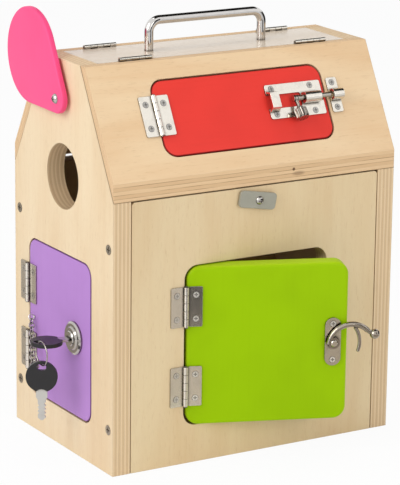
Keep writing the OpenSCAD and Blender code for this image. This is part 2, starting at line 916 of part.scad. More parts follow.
module key_ring() {
    color("silver") ring_frame() rotate_extrude() translate([ring_r, 0]) circle(d = ring_wire);
}

module spare_frame() {
    ring_frame() translate([0, -spare_drop, 0]) rotate([0, 58, 0]) children();
}

module spare_key_blade() {
    spare_frame() key_blade_shape();
}

module spare_key_head() {
    spare_frame() key_head_shape();
}

// --- tether chain from the door to the keys, in links set evenly along a sagging line ---
module tether_link() {
    rotate_extrude() translate([link_r, 0]) circle(link_wire);
}

module tether_links_at(t, turn) {
    v = tether_point(t + 0.01) - tether_point(t - 0.01);
    translate(tether_point(t)) rotate(heading(v)) rotate([90, 0, turn]) children();
}

// A screw eye: its ring stands on a shank, as the chain's first link
module tether_screw() {
    v = tether_to - tether_from;
    color("silver") on_left() {
        translate(tether_from) rotate([90, 0, atan2(v[1] - 4*tether_sag, v[0])]) tether_link();
        translate([tether_from[0], tether_from[1], -small_len]) cylinder(d = small_shank_d, h = small_len + 0.9);
    }
}

function tether_point(t) = tether_from + t*(tether_to - tether_from) - [0, 4*tether_sag*t*(1 - t), 0];
function heading(v) = [0, acos(v[2]/norm(v)), atan2(v[1], v[0])];

// Pairs of a length along the line and its place on it, to look a link's place up in
tether_table = [
    for (i = 0, l = 0; i <= tether_steps;
        l = l + norm(tether_point((i + 1)/tether_steps) - tether_point(i/tether_steps)), i = i + 1)
        [l, i/tether_steps]
];
tether_length = tether_table[tether_steps][0];

module tether_chain() {
    links = floor(tether_length/link_pitch);
    color("silver") on_left() for (i = [1 : links])
        tether_links_at(lookup(i*tether_length/links, tether_table), i % 2 == 0 ? 0 : 90) tether_link();
}

// --- swing cover ---
module cover_frame() {
    on_left() translate([cover_x, cover_z, 0]) children();
}

module cover_screw_hole() {
    translate([0, 0, -12]) cylinder(d = 4 + 2*clear, h = 20);
}

module swing_cover() {
    reach_angle = -90 - cover_turn;
    lean = asin((cover_r - cover_small_r)/cover_reach);
    color("hotpink") cover_frame() translate([0, 0, cover_gap]) difference() {
        rotate(reach_angle) linear_extrude(cover_t) {
            circle(cover_small_r);
            translate([cover_reach, 0]) circle(cover_r);
            polygon([
                [-cover_small_r*sin(lean), -cover_small_r*cos(lean)],
                [cover_reach - cover_r*sin(lean), -cover_r*cos(lean)],
                [cover_reach - cover_r*sin(lean), cover_r*cos(lean)],
                [-cover_small_r*sin(lean), cover_small_r*cos(lean)]
            ]);
        }
        translate([0, 0, -1]) cylinder(r = 2 + clear, h = 20);
    }
}

module cover_spacer() {
    color("silver") cover_frame() difference() {
        cylinder(d = 9, h = cover_gap - 0.2);
        translate([0, 0, -1]) cylinder(r = 2 + clear, h = 10);
    }
}

module cover_screw() {
    color("silver") cover_frame() {
        translate([0, 0, -11.8]) cylinder(d = 4, h = 11.8 + cover_gap + cover_t + 0.3);
        translate([0, 0, cover_gap + cover_t + 0.2]) dome_head(7.8, 2.4);
    }
}

// A domed head with a cross cut in it
module dome_head(d, h) {
    ball = (d*d/4 + h*h)/(2*h);
    difference() {
        intersection() {
            translate([0, 0, h - ball]) sphere(ball);
            cylinder(d = d, h = h);
        }
        for (a = [0, 90]) rotate(a) translate([0, 0, h]) cube([d*0.5, d*0.13, h*0.7], center = true);
    }
}

// --- turn button ---
module button_frame() {
    on_front() translate([0, button_z, 0]) rotate(-button_turn) children();
}

module turn_button() {
    color("gray") button_frame() difference() {
        translate([-1.5, 0, 1.2]) linear_extrude(button_t) round_rect(button_l, button_w, 3);
        cylinder(r = 1.5 + clear, h = 10);
    }
}

module button_washer() {
    color("silver") button_frame() difference() {
        cylinder(d = 8, h = 1);
        translate([0, 0, -1]) cylinder(r = 1.5 + clear, h = 4);
    }
}

module button_screw() {
    color("silver") button_frame() {
        translate([0, 0, -11.8]) cylinder(d = 3, h = 11.8 + 1.2 + button_t + 0.2);
        translate([0, 0, 1.2 + button_t + 0.15]) dome_head(6.8, 2.4);
    }
}

left_gable();
right_gable();
front_wall();
back_wall();
floor_board();
top_board();
wall_screws();
carry_handle();
handle_screws();
ridge_hinge_fixed_leaves();
ridge_hinge_pins();
green_hinge_wall_leaves();
purple_hinge_wall_leaves();
door_hinge_pins();
wall_leaf_screws();
latch_keeper();
latch_keeper_screws();
button_screw();
button_washer();
cover_screw();
cover_spacer();
front_lid();
front_ridge_lid_leaves();
red_hinge_lid_leaf();
red_hinge_pin();
bolt_keeper();
bolt_keeper_loop();
front_lid_screws();
red_door();
red_hinge_door_leaf();
bolt_base();
red_door_screws();
bolt_rod();
bolt_knob();
green_door();
green_hinge_door_leaves();
latch_base();
green_door_screws();
latch_arm();
purple_door();
purple_hinge_door_leaves();
purple_door_screws();
lock_housing();
lock_nut();
tether_screw();
tether_chain();
lock_plug();
lock_cam();
cam_screw();
key_blade();
key_head();
key_ring();
spare_key_blade();
spare_key_head();
back_lid();
back_ridge_lid_leaves();
back_lid_screws();
swing_cover();
turn_button();
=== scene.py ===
# %% [markdown]
# # A wooden busy board, dressed for its picture
# The object is a little plywood house with painted doors and real locks on it. Its solids come
# from the CAD model, already in their places and sorted into bodies that move. This lesson gives
# them their finishes, and makes again in Blender the boards whose edges are rounded. We load the
# model first, because everything else is placed by it.

# %% Load the frame
import math

import bmesh
import bpy
from mathutils import Matrix, Vector


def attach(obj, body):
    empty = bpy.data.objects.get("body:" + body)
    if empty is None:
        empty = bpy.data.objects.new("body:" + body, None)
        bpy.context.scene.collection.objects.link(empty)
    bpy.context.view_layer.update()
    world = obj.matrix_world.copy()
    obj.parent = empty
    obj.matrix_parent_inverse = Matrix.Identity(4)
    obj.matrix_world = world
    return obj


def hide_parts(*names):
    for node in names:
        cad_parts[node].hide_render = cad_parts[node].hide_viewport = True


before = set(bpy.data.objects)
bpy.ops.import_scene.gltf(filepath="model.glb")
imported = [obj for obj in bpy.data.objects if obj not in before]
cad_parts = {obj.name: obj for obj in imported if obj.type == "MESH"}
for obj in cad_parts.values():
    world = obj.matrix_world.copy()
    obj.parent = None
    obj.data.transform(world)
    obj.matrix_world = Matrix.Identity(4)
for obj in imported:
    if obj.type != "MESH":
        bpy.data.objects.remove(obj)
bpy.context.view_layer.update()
bpy.context.scene.view_settings.view_transform = "Standard"

# %% [markdown]
# ## Sizes that several pieces share
# The house is 250 mm wide, 160 mm deep and 307 mm high. These numbers are the CAD source's, in
# metres. Two things need them here: the boards that are made again, and the plywood, which has
# to know where a board's outer face lies. The front of the house looks along -Y.

# %% Shared sizes and directions
MM = 0.001
HALF_W, HALF_D = 125 * MM, 80 * MM
PLY, FLOOR_T, LID_T = 15 * MM, 9 * MM, 7 * MM
WALL_H, ROOF_H, HALF_TOP = 212 * MM, 307 * MM, 27.5 * MM
LEFT, RIGHT = Vector((-1, 0, 0)), Vector((1, 0, 0))
FRONT, REAR = Vector((0, -1, 0)), Vector((0, 1, 0))
DOWN, UP = Vector((0, 0, -1)), Vector((0, 0, 1))
print("house", HALF_W * 2, "by", HALF_D * 2, "by", ROOF_H, "m")

# %% [markdown]
# The lids lie on the slanted edges of the gables, so one angle gives both directions of a lid:
# out of its face, and up along it. The green door stands open in the picture. Its right and its
# outward direction come from that angle in the same way.

# %% The roof and the open door
RIDGE_GAP = 0.3 * MM
SLOPE = math.atan2(ROOF_H - WALL_H, HALF_D - HALF_TOP)
LID_OUT = Vector((0, -math.sin(SLOPE), math.cos(SLOPE)))
LID_UP = Vector((0, math.cos(SLOPE), math.sin(SLOPE)))
ridge = Vector((0, -HALF_TOP - RIDGE_GAP, ROOF_H))
lid_top = ridge + LID_OUT * LID_T - LID_UP * (LID_T / math.tan(SLOPE))
LID_FACE = lid_top.dot(LID_OUT)
AJAR = math.radians(21)
DOOR_RIGHT = Vector((math.cos(AJAR), -math.sin(AJAR), 0))
DOOR_OUT = Vector((-math.sin(AJAR), -math.cos(AJAR), 0))
print("roof slope", round(math.degrees(SLOPE), 2), "degrees")

# %% [markdown]
# ## The camera
# The picture was taken from the front left, a little above the roof, with a long lens from about
# two metres, so the upright edges stay nearly parallel. The camera's place and angles were
# worked out from the house's corners. A camera looks along its own -Z, so we work out its three
# axes, its right, up and backward directions, and make them the columns of its matrix.

# %% Camera
AZIMUTH, ELEVATION, ROLL = math.radians(-30.833), math.radians(15.037), math.radians(0.699)
CAMERA_PLACE = (-1.03158, -1.72359, 0.68826)
PICTURE_HEIGHT, FOCAL_PIXELS = 485, 2633.8
SENSOR_MM = 36

back = Vector((math.sin(AZIMUTH) * math.cos(ELEVATION),
               -math.cos(AZIMUTH) * math.cos(ELEVATION), math.sin(ELEVATION)))
level = UP.cross(back).normalized()
upright = back.cross(level)
right = level * math.cos(ROLL) + upright * math.sin(ROLL)
up = upright * math.cos(ROLL) - level * math.sin(ROLL)
lens = bpy.data.cameras.new("camera")
lens.sensor_width = SENSOR_MM
lens.lens = FOCAL_PIXELS / PICTURE_HEIGHT * SENSOR_MM
lens.clip_end = 50
camera = bpy.data.objects.new("camera", lens)
bpy.context.scene.collection.objects.link(camera)
turn = Matrix((right, up, back)).transposed().to_4x4()
camera.matrix_world = Matrix.Translation(CAMERA_PLACE) @ turn
bpy.context.scene.camera = camera
print("lens", round(lens.lens, 1), "mm")

# %% [markdown]
# ## Writing shaders as sums
# A shader is a web of small nodes. Wiring them by hand hides what they work out, so this class
# wraps one output and lets us write `1 - mask * 0.5` and get the Math nodes.

# %% Sockets that can be added and multiplied
class Wire:
    def __init__(self, web, socket):
        self.web, self.socket = web, socket

    def math(self, operation, *others, clamp=False):
        values = dict(enumerate((self,) + others))
        return self.web.node("ShaderNodeMath", values, operation=operation, use_clamp=clamp)

    def __add__(self, other):
        return self.math("ADD", other)

    def __sub__(self, other):
        return self.math("SUBTRACT", other)

    def __rsub__(self, other):
        return self.web.node("ShaderNodeMath", {0: other, 1: self}, operation="SUBTRACT")

    def __mul__(self, other):
        return self.math("MULTIPLY", other)

    def __truediv__(self, other):
        return self.math("DIVIDE", other)

    def __gt__(self, other):
        return self.math("GREATER_THAN", other)

    def __lt__(self, other):
        return self.math("LESS_THAN", other)

    def __abs__(self):
        return self.math("ABSOLUTE")

    __radd__, __rmul__ = __add__, __mul__

    def clamped(self):
        return self.math("ADD", 0.0, clamp=True)

    def step(self, low, high):
        """0 below low, 1 above high, and a smooth rise between them."""
        return self.web.node("ShaderNodeMapRange", {"Value": self, "From Min": low, "From Max": high},
                             interpolation_type="SMOOTHSTEP")


# %% [markdown]
# A second class is the web itself. Every node, of whatever kind, comes from its one method,
# which sets the node's settings first and then the values or wires of its sockets.

# %% A web of nodes
class Web:
    def __init__(self, tree):
        self.tree = tree

    def node(self, kind, inputs=None, out=0, **settings):
        made = self.tree.nodes.new(kind)
        for key, value in settings.items():
            setattr(made, key, value)
        for key, value in (inputs or {}).items():
            self.join(value, made.inputs[key])
        return Wire(self, made.outputs[out])

    def join(self, value, socket):
        if isinstance(value, Wire):
            self.tree.links.new(value.socket, socket)
        else:
            socket.default_value = value

    def end(self, wire):
        """Send a wire to the tree's output as its surface."""
        kinds = ("OUTPUT_MATERIAL", "OUTPUT_WORLD")
        self.join(wire, next(n for n in self.tree.nodes if n.type in kinds).inputs["Surface"])


# %% [markdown]
# A material is such a web with a Principled shader in it. It also has the few colour and vector
# steps that Math nodes can't do, since a Math node would turn a colour grey. Patterns read
# Object coordinates, so they stay on a piece when it moves.

# %% A material under construction
MIX_FIRST, MIX_SECOND, MIX_RESULT = 6, 7, 2     # where a Mix node keeps its colour sockets


class Finish(Web):
    def __init__(self, name, **sockets):
        self.material = bpy.data.materials.new(name)
        self.material.use_nodes = True
        super().__init__(self.material.node_tree)
        self.shader = next(n for n in self.tree.nodes if n.type == "BSDF_PRINCIPLED")
        self.set(**sockets)
        self.place = self.node("ShaderNodeTexCoord", out="Object")

    def set(self, **sockets):
        for key, value in sockets.items():
            self.join(value, self.shader.inputs[key.replace("_", " ")])

    def along(self, direction):
        """How far a point lies along a direction, in metres."""
        return self.node("ShaderNodeVectorMath", {0: self.place, 1: direction},
                         out="Value", operation="DOT_PRODUCT")

    def vector(self, x, y, z):
        return self.node("ShaderNodeCombineXYZ", {0: x, 1: y, 2: z})

    def noise(self, vector, scale=1.0, detail=2.0, roughness=0.5, distortion=0.0):
        return self.node("ShaderNodeTexNoise", {"Vector": vector, "Scale": scale, "Detail": detail,
                                                "Roughness": roughness, "Distortion": distortion})

    def mix(self, first, second, amount):
        return self.node("ShaderNodeMix", {"Factor": amount, MIX_FIRST: first, MIX_SECOND: second},
                         out=MIX_RESULT, data_type="RGBA")

    def bumps(self, height, depth, strength, soft=0.0):
        """Bumps of a depth in metres; soft is the radius of the light on sharp edges."""
        inputs = {"Height": height, "Distance": depth, "Strength": strength}
        if soft:
            inputs["Normal"] = self.node("ShaderNodeBevel", {"Radius": soft}, samples=4)
        self.set(Normal=self.node("ShaderNodeBump", inputs))


# %% [markdown]
# Colours are picked on a screen as 0 to 255, but shaders work with amounts of light, and the
# curve between the two is the sRGB one. The last helper gives a finish to CAD pieces.

# %% Colours, and dressing a CAD piece
def linear(r, g, b):
    """A screen colour as the amounts of light that shaders use."""
    def one(v):
        v = v / 255
        return v / 12.92 if v <= 0.04045 else ((v + 0.055) / 1.055) ** 2.4
    return (one(r), one(g), one(b), 1.0)


def scaled(colour, amount, lift=0.0):
    """A lighter or darker colour."""
    return tuple(v * amount + lift for v in colour[:3]) + (1.0,)


def dress(finish, *nodes):
    """Give a finish to CAD nodes whose shape is right as it is."""
    for name in nodes:
        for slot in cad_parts[name].material_slots:
            slot.material = finish.material
    print(finish.material.name, "on", ", ".join(nodes))


# %% [markdown]
# ## Boards
# All boards share one idea. A board is told its outward direction, where its outer face lies and
# which way its grain runs. From these a point knows three lengths: how far it is along the
# grain, how far across it, and how deep below the face. Wood grain is noise that changes slowly
# along the grain and quickly across it.

# %% A board's finish
class Board(Finish):
    def __init__(self, name, out, face, grain, seed, **sockets):
        super().__init__(name, **sockets)
        self.far, self.side = self.along(grain), self.along(out.cross(grain))
        self.depth = face - self.along(out)
        self.seed = seed

    def drawn(self, per_metre, shift=0.0, level=0.0, **settings):
        """Noise that changes so many times a metre along the grain, and across it."""
        far, side = self.far * per_metre[0] + shift, self.side * per_metre[1]
        return self.noise(self.vector(far, side, self.seed + level), **settings)

    def through(self, per_metre, **settings):
        """Noise that changes so many times a metre along a layer, and through the layers."""
        far, side = self.far * per_metre[0], self.side * per_metre[0]
        return self.noise(self.vector(far, side, self.depth * per_metre[1]), **settings)

    def near(self, centre, radius, stretch):
        """1 at a point, falling to 0 at a radius from it, in a stretched ball."""
        offset = self.node("ShaderNodeVectorMath", {0: self.place, 1: centre}, operation="SUBTRACT")
        scaled_to = self.node("ShaderNodeVectorMath", {0: offset, 1: stretch}, operation="MULTIPLY")
        distance = self.node("ShaderNodeVectorMath", {0: scaled_to}, out="Value", operation="LENGTH")
        return 1 - distance.step(radius * 0.35, radius)


# %% [markdown]
# ## Plywood
# The house is birch plywood under a thin clear varnish. Its face is one peeled sheet of veneer:
# broad soft bands and flames, fine streaks along the grain, and short dark pores.

# %% The face of the sheet
PALE, WARM, DEEP = linear(243, 222, 187), linear(229, 199, 158), linear(196, 158, 112)
BAND, FLAME, STREAK, PORE = (5, 26), (2.2, 9), (22, 420), (150, 1500)
RINGS_IN_A_FLAME = 9


def sheet(wood, tones, streak, pore):
    """The colour of the face."""
    band = wood.drawn(BAND, shift=wood.seed, detail=3, roughness=0.45, distortion=0.6)
    flame = wood.drawn(FLAME, shift=wood.seed, level=4, detail=1.5, distortion=0.4)
    ring = abs((flame * RINGS_IN_A_FLAME).math("FRACT") - 0.5) * 2
    tint = band.step(0.3, 0.75) * 0.62 + ring * 0.16 + streak.step(0.35, 0.8) * 0.2
    pale, warm = tones
    return wood.mix(wood.mix(pale, warm, tint.clamped()), DEEP, pore * 0.22)


# %% [markdown]
# A cut edge shows the stack. Every second layer is end grain, which is darker, and a thin glue
# line runs between. Dividing the depth by a layer's thickness tells which layer we are in: the
# whole part of the result is its number, and the fraction is the place between its glue lines.

# %% The stack in a cut edge
END, GLUE = linear(190, 152, 108), linear(124, 88, 56)
FIBRE, RUN = (300, 3200), (24, 1800)


def stack(wood, tones, layer, seam, fibre, contrast, lines):
    """The colour of a cut edge; contrast is that of its layers, lines that of its glue."""
    run = wood.through(RUN, detail=2)
    odd = layer.math("FLOOR").math("MODULO", 2.0) > 0.5
    pale, warm = tones
    end_grain = wood.mix(END, warm, (fibre * 0.5 + run * 0.45).clamped())
    long_grain = wood.mix(pale, warm, run * 0.6 + 0.4)
    edge = wood.mix(long_grain, end_grain, odd * contrast)
    return wood.mix(edge, GLUE, seam * run.step(0.35, 0.62) * lines)


# %% [markdown]
# The recipe shows the sheet on the face and the stack below it. The inner face is painted darker,
# as painted shade inside the house. Where the front lid's ends meet the gables, a brown line is
# drawn near their inner face, and the varnish evens out the layers of these ends. Knots are brown
# spots at given points.

# %% Plywood recipe
KNOT = linear(96, 60, 34)
SKIN = 0.12 * MM


def plywood(name, out, face, thick, grain, seed, plies=9, tones=(PALE, WARM), gloss=0.42,
            knots=(), layers=0.62, lines=0.42, ends=None):
    """Plywood of a thickness, whose outer face lies at face along out. layers and lines are the
    contrast of its layers and of its glue. ends is where sawn ends lie that show a brown line."""
    wood = Board(name, out, face, grain, seed, Specular_IOR_Level=0.4)
    streak = wood.drawn(STREAK, detail=3, roughness=0.6)
    pore = wood.drawn(PORE, detail=1).step(0.62, 0.74)
    fibre = wood.through(FIBRE, detail=2, roughness=0.7)
    layer = wood.depth / thick * plies
    seam = abs(layer.math("FRACT") - 0.5).step(0.40, 0.5)
    at_end = abs(wood.far).step(ends - 0.3 * MM, ends - 0.1 * MM) if ends else 0.0
    edge = stack(wood, tones, layer, seam, fibre, layers - at_end * layers * 0.7, lines)

    inside = (wood.depth > SKIN) * (wood.depth < thick - SKIN)
    colour = wood.mix(sheet(wood, tones, streak, pore), edge, inside)
    # Painted shade: the inner face is darkened towards DEEP.
    colour = wood.mix(colour, DEEP, (wood.depth > thick - 0.2 * MM) * 0.7)
    # A brown line along the front lid's ends, near their inner face.
    brown_end_line = wood.depth.step(thick - 1.3 * MM, thick - 0.4 * MM) * at_end
    colour = wood.mix(colour, KNOT, brown_end_line * 0.75)
    for centre, radius, stretch, strength in knots:
        colour = wood.mix(colour, KNOT, wood.near(centre, radius, stretch) * strength)
    wood.set(Base_Color=colour, Roughness=gloss + streak * 0.12 + inside * 0.12)
    height = streak * 0.5 - pore * 0.8 + inside * (fibre * 1.4 - seam)
    wood.bumps(height, 0.12 * MM, 0.7, soft=0.7 * MM)
    return wood


# %% [markdown]
# The grain of the gables and walls stands upright, and the roof's runs along the ridge. The
# walls were cut from another sheet and are a little yellower. The top board carries a thicker,
# glossier varnish.

# %% Boards of the box
WALL_TONES = linear(232, 210, 170), linear(221, 191, 147)
TOP_TONES = linear(228, 213, 194), linear(212, 192, 166)
for node, out, face, tones, seed in (("left_gable", LEFT, HALF_W, (PALE, WARM), 1.3),
                                     ("right_gable", RIGHT, HALF_W, (PALE, WARM), 7.1),
                                     ("front_wall", FRONT, HALF_D, WALL_TONES, 3.7),
                                     ("back_wall", REAR, HALF_D, WALL_TONES, 9.2)):
    dress(plywood(node + "_ply", out, face, PLY, UP, seed, tones=tones), node)
dress(plywood("floor_ply", UP, FLOOR_T, FLOOR_T, RIGHT, 5.5, plies=7), "floor_board")
dress(plywood("top_board_ply", UP, ROOF_H, PLY, RIGHT, 8.8, tones=TOP_TONES, gloss=0.16),
      "top_board")

# %% [markdown]
# The lids are thinner, with five layers. The front lid has one small knot by its lower edge,
# with a brown streak beside it. Each spot is a centre, a radius, a stretch and a strength.

# %% Lids
ROOF_TONES = linear(240, 212, 172), linear(228, 190, 145)
LID_KNOT = ((32.1 * MM, -HALF_D, 221.6 * MM), 1.7 * MM, (1, 1, 1), 1.0)
LID_STREAK = ((36.5 * MM, -HALF_D, 218.0 * MM), 7.5 * MM, (1, 0.6, 3.2), 0.42)
BACK_OUT = Vector((0, -LID_OUT.y, LID_OUT.z))
dress(plywood("front_lid_ply", LID_OUT, LID_FACE, LID_T, RIGHT, 2.4, plies=5, tones=ROOF_TONES,
              knots=(LID_KNOT, LID_STREAK), layers=0.44, lines=0.9, ends=HALF_W), "front_lid")
dress(plywood("back_lid_ply", BACK_OUT, LID_FACE, LID_T, RIGHT, 6.9, plies=5, tones=ROOF_TONES,
              layers=0.25, lines=0.6), "back_lid")

# %% [markdown]
# ## Painted boards
# Each door is a plywood board dipped in thin satin paint. The paint keeps a trace of the grain,
# and has another tone where it thins or gathers round the rim. On the red and purple doors this
# darker rim is also painted shade of the gap round them, and on the green door the paler rim is
# also a painted highlight.

# %% Paint recipe
BRUSHED = (18, 380)


def painted(name, colour, rim, out, face, grain, seed, rim_depth=1.8 * MM, shine=0.22, tone_share=0.55):
    """The rim colour comes in over a depth of rub, to the share of worn."""
    paint = Board(name, out, face, grain, seed, Specular_IOR_Level=shine, Coat_Roughness=0.25)
    streak = paint.drawn(BRUSHED, shift=seed, detail=3, roughness=0.6)
    cloud = paint.noise(paint.place, scale=22, detail=2)
    speck = paint.noise(paint.place, scale=900, detail=1)
    uneven = cloud.step(0.35, 0.75) * 0.45 + streak.step(0.45, 0.8) * 0.18
    body = paint.mix(colour, scaled(colour, 0.86), uneven)
    # The rim tone is paint; on the red and purple doors it is also painted shade, and on the green
    # door a painted highlight.
    at_rim = paint.depth.step(0.0, rim_depth) * (1 - cloud * 0.3) * tone_share
    paint.set(Base_Color=paint.mix(body, rim, at_rim), Coat_Weight=0.05,
              Roughness=0.36 + cloud * 0.1 + streak * 0.06)
    paint.bumps(streak * 0.6 + speck * 0.25, 0.1 * MM, 0.6)
    return paint


# %% [markdown]
# The CAD doors have square edges, and a real one is sanded round, which shows as a bright line
# of light. So the boards are made again. Each is built flat, with its face up, and then laid on
# its wall by three directions: its right, its up and its outward one. Baking that into the mesh
# leaves the object itself at the origin, as every finished piece has to be.

# %% Rounding, and laying a piece in its place
SHARP = math.radians(57)


def sharp_edges(made):
    """Edges where two faces meet at a steep angle."""
    return [e for e in made.edges if len(e.link_faces) == 2 and e.calc_face_angle(0) > SHARP]


def rounded(made, edges, size, segments):
    bmesh.ops.bevel(made, geom=edges, offset=size, segments=segments, profile=0.5,
                    affect="EDGES", material=-1, clamp_overlap=True)


def settle(made, name, middle, to_right, to_up, to_out, smooth=math.radians(35)):
    """Lay a flat-built mesh in its place and turn it into an object at the origin."""
    axes = Matrix((to_right, to_up, to_out)).transposed().to_4x4()
    bmesh.ops.transform(made, matrix=Matrix.Translation(middle) @ axes, verts=made.verts)
    bmesh.ops.recalc_face_normals(made, faces=made.faces)
    for face in made.faces:
        face.smooth = True
    for edge in made.edges:
        edge.smooth = edge.calc_face_angle(0) < smooth
    mesh = bpy.data.meshes.new(name)
    made.to_mesh(mesh)
    made.free()
    piece = bpy.data.objects.new(name, mesh)
    bpy.context.scene.collection.objects.link(piece)
    print(name, len(mesh.polygons), "faces,", [round(v / MM, 1) for v in piece.dimensions], "mm")
    return piece


# %% [markdown]
# A board is a cube. Its four upright edges are bevelled to the door's corner radius first, and
# then the rim of each face to the sanding, which is half as wide at the back.

# %% Round-edged board
CORNER = 10 * MM


def board(name, size, sanding, middle, to_right, to_up, to_out):
    """A board of a width, height and thickness, with the middle of its outer face at a point."""
    width, height, thick = size
    made = bmesh.new()
    bmesh.ops.create_cube(made, size=1.0)
    bmesh.ops.scale(made, vec=(width, height, thick), verts=made.verts)
    bmesh.ops.translate(made, vec=(0, 0, -thick / 2), verts=made.verts)
    corners = [e for e in made.edges if abs(e.verts[0].co.z - e.verts[1].co.z) > thick / 2]
    rounded(made, corners, CORNER, 14)
    for face_z, width_of_rim in ((0.0, sanding), (-thick, sanding * 0.5)):
        rim = [e for e in sharp_edges(made) if all(abs(v.co.z - face_z) < 1e-7 for v in e.verts)]
        rounded(made, rim, width_of_rim, 5)
    return settle(made, name, middle, to_right, to_up, to_out)


def finish_board(piece, paint, body):
    """The piece rides on the body and stands in for the CAD node of the same name."""
    piece.data.materials.append(paint.material)
    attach(piece, body)
    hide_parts(body)


# %% [markdown]
# ## The red door
# It fills an opening in the front lid, level with the lid's face, so it takes the lid's
# directions and lies a little below the ridge. Its rim is dark: darker red paint on the edge, with
# painted shade of the gap round the door.

# %% Red door
RED_DOWN = 45.7 * MM
red = board("red_door_board", (150 * MM, 59.5 * MM, LID_T), 1.2 * MM,
            lid_top - LID_UP * RED_DOWN, RIGHT, LID_UP, LID_OUT)
# The dark rim colour is darker paint and painted shade of the gap.
red_paint = painted("red_paint", linear(236, 60, 50), linear(112, 4, 10),
                    LID_OUT, LID_FACE, RIGHT, 1.0, rim_depth=0.3 * MM, tone_share=0.9)
finish_board(red, red_paint, "red_door")

# %% [markdown]
# ## The green door
# It hangs on the front wall by two hinges and stands 21 degrees open. Its face lies just behind
# the hinge pins, and its middle is measured from them along the door's own right. The paint is
# duller than the others, and paler round its well-rounded rim: thinner paint there, and a painted
# highlight on the rounding.

# %% Green door
DOOR_Z = 93.5 * MM
GREEN_SIDE = 125 * MM
GREEN_PIN = Vector((-63 * MM, -82 * MM, 0))
PIN_PROUD, PIN_TO_MIDDLE = 2 * MM, 63 * MM
green_face = GREEN_PIN - DOOR_OUT * PIN_PROUD
green_middle = green_face + DOOR_RIGHT * PIN_TO_MIDDLE + UP * DOOR_Z
green = board("green_door_board", (GREEN_SIDE, GREEN_SIDE, PLY), 2.4 * MM,
              green_middle, DOOR_RIGHT, UP, DOOR_OUT)
# The paler rim colour is thinner paint and a painted highlight on the rounded edge.
green_paint = painted("green_paint", linear(154, 196, 0), linear(190, 220, 40),
                      DOOR_OUT, green_face.dot(DOOR_OUT), UP, 2.0, shine=0.06)
finish_board(green, green_paint, "green_door")

# %% [markdown]
# ## The purple door
# It fills an opening in the left gable. Seen from outside, its right is the house's front.

# %% Purple door
PURPLE_Y = 5.5 * MM
purple = board("purple_door_board", (100 * MM, 125 * MM, PLY), 1.0 * MM,
               Vector((-HALF_W, PURPLE_Y, DOOR_Z)), FRONT, UP, LEFT)
# The dark rim colour is darker paint on the edge and painted shade of the gap round the door.
purple_paint = painted("purple_paint", linear(187, 138, 211), linear(92, 52, 108),
                       LEFT, HALF_W, UP, 3.0, rim_depth=0.3 * MM, tone_share=0.8)
finish_board(purple, purple_paint, "purple_door")

# %% [markdown]
# ## The swing cover
# A pink board in the shape of a drop turns on one screw and hides the round hole. Its outline is
# a small and a large circle joined by their tangents. The convex hull of two discs is just that
# shape, so we hull them and merge the flat triangles that the hull leaves.

# %% The drop
COVER_T, COVER_GAP = 5 * MM, 2.5 * MM
COVER_SMALL_R, COVER_BIG_R, COVER_REACH = 11.5 * MM, 37.2 * MM, 50.2 * MM
COVER_TURN = math.radians(149)
DISC_SIDES, FLAT = 96, 0.01
drop = bmesh.new()
for reach, radius in ((0.0, COVER_SMALL_R), (COVER_REACH, COVER_BIG_R)):
    centre = Vector((reach * math.cos(COVER_TURN), reach * math.sin(COVER_TURN), COVER_T / 2))
    bmesh.ops.create_cone(drop, cap_ends=True, segments=DISC_SIDES, radius1=radius, radius2=radius,
                          depth=COVER_T, matrix=Matrix.Translation(centre))
hull = bmesh.ops.convex_hull(drop, input=drop.verts)
inner = {v for v in hull["geom_interior"] + hull["geom_unused"] if isinstance(v, bmesh.types.BMVert)}
bmesh.ops.delete(drop, geom=list(inner), context="VERTS")
outer = {f for f in hull["geom"] if isinstance(f, bmesh.types.BMFace) and f.is_valid}
bmesh.ops.delete(drop, geom=[f for f in drop.faces if f not in outer], context="FACES")
bmesh.ops.dissolve_limit(drop, angle_limit=FLAT, verts=drop.verts, edges=drop.edges)
print("drop:", len(drop.verts), "corners")

# %% [markdown]
# Both rims of the drop are rounded, and it is laid beside the gable, clear of it by a spacer.
# It was drawn round the screw that it turns on, so the screw's place is all that it needs.

# %% Swing cover
COVER_PIVOT = Vector((-HALF_W - COVER_GAP, -2.5 * MM, 278 * MM))
rounded(drop, sharp_edges(drop), 1.3 * MM, 5)
cover = settle(drop, "swing_cover_board", COVER_PIVOT, FRONT, UP, LEFT)
cover_face = HALF_W + COVER_GAP + COVER_T
pink_paint = painted("pink_paint", linear(254, 90, 146), linear(240, 60, 120),
                     LEFT, cover_face, UP, 4.0)
finish_board(cover, pink_paint, "swing_cover")

# %% [markdown]
# ## Metals
# The fittings are cheap pressed steel: bright plating on the bolt, latch, lock and handle, and
# nickel worn to satin on the hinges and plates. All metal here is one recipe. What changes is the
# colour, how rough it is, and how strong its rolling marks and smudges are. Where a point is
# closed in by its neighbours, as in a screw's sink or beside a hinge pin, its colour is darkened
# to a brown as painted shade. The Ambient Occlusion node finds those places. The bolt's knob has
# flutes, painted dark between the ribs as painted shade.

# %% Metal recipe
# Painted shade: the brown that closed-in points are darkened to, and how far the search for neighbours
# reaches.
SHADE_BROWN = linear(52, 42, 34)
SHADE_REACH = 2.5 * MM
ROLL_LONG, ROLL_SHORT = 60, 2600


